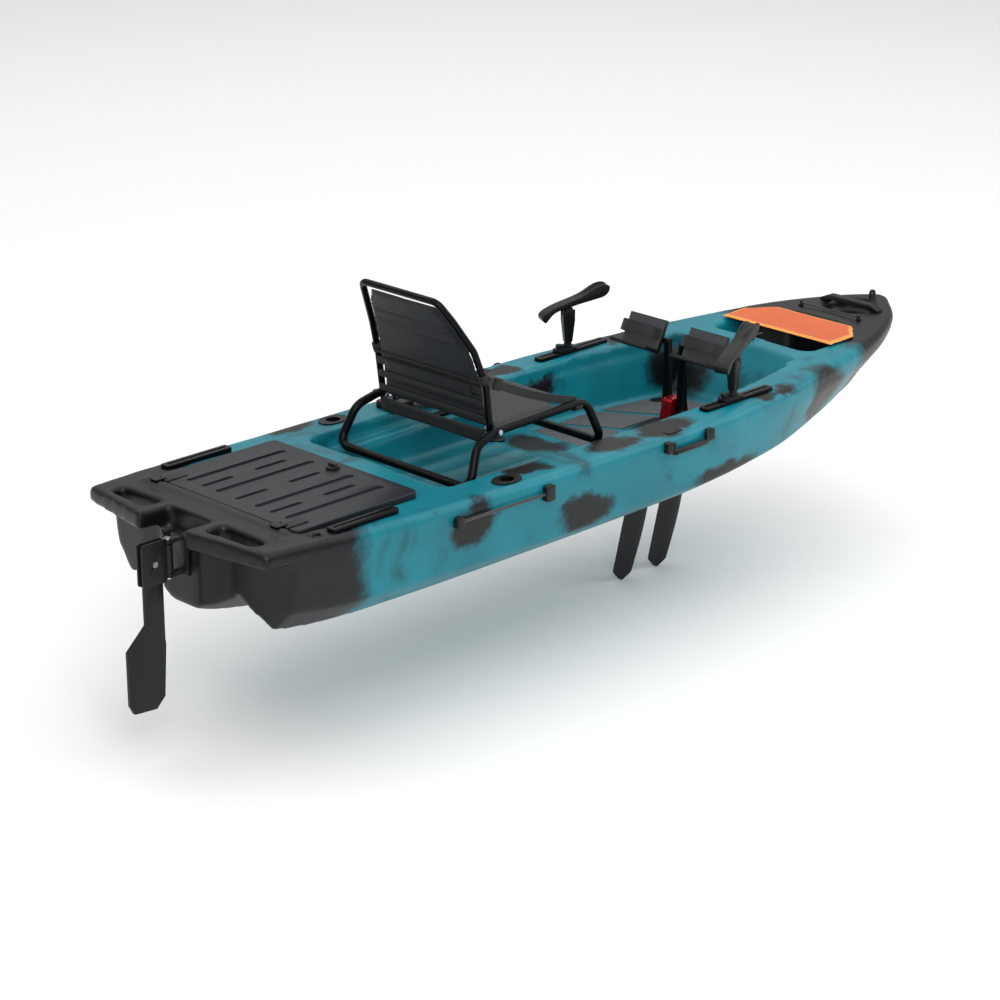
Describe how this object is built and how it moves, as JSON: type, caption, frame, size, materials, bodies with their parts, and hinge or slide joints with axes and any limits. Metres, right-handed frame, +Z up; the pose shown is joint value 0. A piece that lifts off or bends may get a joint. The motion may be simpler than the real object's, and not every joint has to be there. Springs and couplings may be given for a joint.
{
  "type": "pedal boat",
  "caption": "Sit-on-top pedal fishing boat with a moulded hull, framed seat, fin pedal drive, rudder, stern hatch and rod holders.",
  "frame": {"origin": "amidships on the centreline, at the waterline", "axes": "+X to the bow, +Y to port, +Z up"},
  "size_m": [3.18, 0.9032, 1.132],
  "materials": {
    "hull_shell": "rotomoulded polyethylene, teal with dark camouflage patches",
    "mat_foam": "grooved EVA foam",
    "rubber": "moulded rubber",
    "black_plastic": "moulded nylon",
    "cover_cloth": "coated nylon cloth, orange",
    "shock_cord": "braided shock cord",
    "track_alloy": "black anodised",
    "steel": "stainless",
    "drive_plastic": "glass filled nylon",
    "red_metal": "red anodised",
    "seat_tube": "black anodised alloy tube",
    "seat_fabric": "woven polyester, dark grey",
    "pocket_mesh": "woven polyester, black",
    "webbing": "nylon webbing",
    "lid_plastic": "moulded polyethylene, charcoal",
    "crank_paint": "black anodised",
    "pedal_plastic": "moulded nylon with grey foam pad",
    "fin_rubber": "moulded flexible fin"
  },
  "bodies": {
    "hull": {"hull": "hull_shell", "footwell_mats": "mat_foam", "scupper_plugs": "rubber", "hatch_seal": "rubber", "deck_plug": "black_plastic", "bow_eye": "black_plastic", "bow_handle": "black_plastic", "cover_hooks": "black_plastic", "badge_plates": "black_plastic", "flush_rod_holders": "black_plastic", "side_pads": "black_plastic", "hinge_brackets": "black_plastic", "rudder_bracket": "black_plastic", "lever_box": "black_plastic", "bow_cover": "cover_cloth", "cover_cord": "shock_cord", "keeper_cords": "shock_cord", "gear_tracks": "track_alloy", "stern_tracks": "track_alloy", "seat_rails": "track_alloy", "track_screws": "steel", "hatch_hinge_pins": "steel", "rudder_pin": "steel", "crank_axle": "steel", "fin_shaft": "steel", "drive_chains": "steel", "drive_body": "drive_plastic", "drive_spine": "red_metal"},
    "seat": {"seat_frame": "seat_tube", "seat_cloth": "seat_fabric", "seat_bolts": "steel", "seat_straps": "webbing"},
    "seat_back": {"back_frame": "seat_tube", "back_cloth": "seat_fabric", "back_pocket": "pocket_mesh"},
    "hatch": {"hatch_lid": "lid_plastic", "hatch_hinges": "black_plastic"},
    "latch": {"hatch_latch": "black_plastic"},
    "crank_port": {"crank_port": "crank_paint"},
    "crank_starboard": {"crank_starboard": "crank_paint"},
    "pedal_port": {"pedal_port": "pedal_plastic"},
    "pedal_starboard": {"pedal_starboard": "pedal_plastic"},
    "fin_front": {"mast_front": "steel", "fin_front": "fin_rubber"},
    "fin_rear": {"mast_rear": "steel", "fin_rear": "fin_rubber"},
    "rudder_head": {"rudder_head": "black_plastic", "rudder_bolt": "steel"},
    "rudder_blade": {"rudder_blade": "black_plastic"},
    "lever": {"rudder_lever": "black_plastic"},
    "carry_handle_port": {"carry_handle_port": "black_plastic"},
    "carry_handle_starboard": {"carry_handle_starboard": "black_plastic"},
    "rod_foot_port": {"rod_foot_port": "black_plastic"},
    "rod_post_port": {"rod_post_port": "black_plastic"},
    "rod_cradle_port": {"rod_cradle_port": "black_plastic"},
    "rod_foot_starboard": {"rod_foot_starboard": "black_plastic"},
    "rod_post_starboard": {"rod_post_starboard": "black_plastic"},
    "rod_cradle_starboard": {"rod_cradle_starboard": "black_plastic"}
  },
  "joints": [
    {"name": "seat_slide", "type": "slide", "parent": "hull", "child": "seat", "axis": [1, 0, 0], "range_m": [-0.05, 0.05]},
    {"name": "back_fold", "type": "hinge", "parent": "seat", "child": "seat_back", "pos_m": [-0.521, 0, 0.285], "axis": [0, 1, 0], "range_deg": [0, 60], "deforming": ["seat_straps"]},
    {"name": "hatch_hinge", "type": "hinge", "parent": "hull", "child": "hatch", "pos_m": [-1.318, 0, 0.221], "axis": [0, -1, 0], "range_deg": [0, 100]},
    {"name": "latch_turn", "type": "hinge", "parent": "hatch", "child": "latch", "pos_m": [-0.918, 0, 0.2], "axis": [0, 0, -1], "range_deg": [0, 90]},
    {"name": "crank_port_swing", "type": "hinge", "parent": "hull", "child": "crank_port", "pos_m": [0.5, 0.03, 0.04], "axis": [0, 1, 0], "range_deg": [-28, 28]},
    {"name": "crank_starboard_swing", "type": "hinge", "parent": "hull", "child": "crank_starboard", "pos_m": [0.5, -0.03, 0.04], "axis": [0, 1, 0], "range_deg": [-28, 28]},
    {"name": "pedal_port_swivel", "type": "hinge", "parent": "crank_port", "child": "pedal_port", "pos_m": [0.5, 0.125, 0.262], "axis": [0, 1, 0], "range_deg": [-30, 30]},
    {"name": "pedal_starboard_swivel", "type": "hinge", "parent": "crank_starboard", "child": "pedal_starboard", "pos_m": [0.5, -0.125, 0.262], "axis": [0, 1, 0], "range_deg": [-30, 30]},
    {"name": "fin_front_flap", "type": "hinge", "parent": "hull", "child": "fin_front", "pos_m": [0.5525, 0, -0.112], "axis": [1, 0, 0], "range_deg": [-60, 60]},
    {"name": "fin_rear_flap", "type": "hinge", "parent": "hull", "child": "fin_rear", "pos_m": [0.3915, 0, -0.112], "axis": [1, 0, 0], "range_deg": [-60, 60]},
    {"name": "rudder_steer", "type": "hinge", "parent": "hull", "child": "rudder_head", "pos_m": [-1.505, 0, 0.11], "axis": [0, 0, 1], "range_deg": [-45, 45]},
    {"name": "rudder_fold", "type": "hinge", "parent": "rudder_head", "child": "rudder_blade", "pos_m": [-1.56, 0, 0.11], "axis": [0, 1, 0], "range_deg": [0, 100]},
    {"name": "lever_swing", "type": "hinge", "parent": "hull", "child": "lever", "pos_m": [-0.375, 0.3315, 0.201], "axis": [0, 1, 0], "range_deg": [-22.5, 22.5]},
    {"name": "carry_port_swing", "type": "hinge", "parent": "hull", "child": "carry_handle_port", "pos_m": [0.075, 0.44262, 0.166], "axis": [1, 0, 0], "range_deg": [0, 110]},
    {"name": "carry_starboard_swing", "type": "hinge", "parent": "hull", "child": "carry_handle_starboard", "pos_m": [0.075, -0.44262, 0.166], "axis": [-1, 0, 0], "range_deg": [0, 110]},
    {"name": "holder_slide_port", "type": "slide", "parent": "hull", "child": "rod_foot_port", "axis": [1, 0, 0], "range_m": [-0.09, 0.12]},
    {"name": "holder_turn_port", "type": "hinge", "parent": "rod_foot_port", "child": "rod_post_port", "pos_m": [0.376, 0.3425, 0.21], "axis": [0, 0, 1], "continuous": true},
    {"name": "cradle_tilt_port", "type": "hinge", "parent": "rod_post_port", "child": "rod_cradle_port", "pos_m": [0.376, 0.3425, 0.3176], "axis": [0.4384, 0.8988, 0], "range_deg": [-30, 45]},
    {"name": "holder_slide_starboard", "type": "slide", "parent": "hull", "child": "rod_foot_starboard", "axis": [1, 0, 0], "range_m": [-0.09, 0.12]},
    {"name": "holder_turn_starboard", "type": "hinge", "parent": "rod_foot_starboard", "child": "rod_post_starboard", "pos_m": [0.376, -0.3425, 0.21], "axis": [0, 0, 1], "continuous": true},
    {"name": "cradle_tilt_starboard", "type": "hinge", "parent": "rod_post_starboard", "child": "rod_cradle_starboard", "pos_m": [0.376, -0.3425, 0.3176], "axis": [-0.2756, 0.9613, 0], "range_deg": [-30, 45]}
  ],
  "couplings": [
    {"joint": "crank_starboard_swing", "follows": "crank_port_swing", "ratio": -1},
    {"joint": "fin_front_flap", "follows": "crank_port_swing", "ratio": 2.14},
    {"joint": "fin_rear_flap", "follows": "crank_port_swing", "ratio": -2.14},
    {"joint": "lever_swing", "follows": "rudder_steer", "ratio": 0.5}
  ]
}
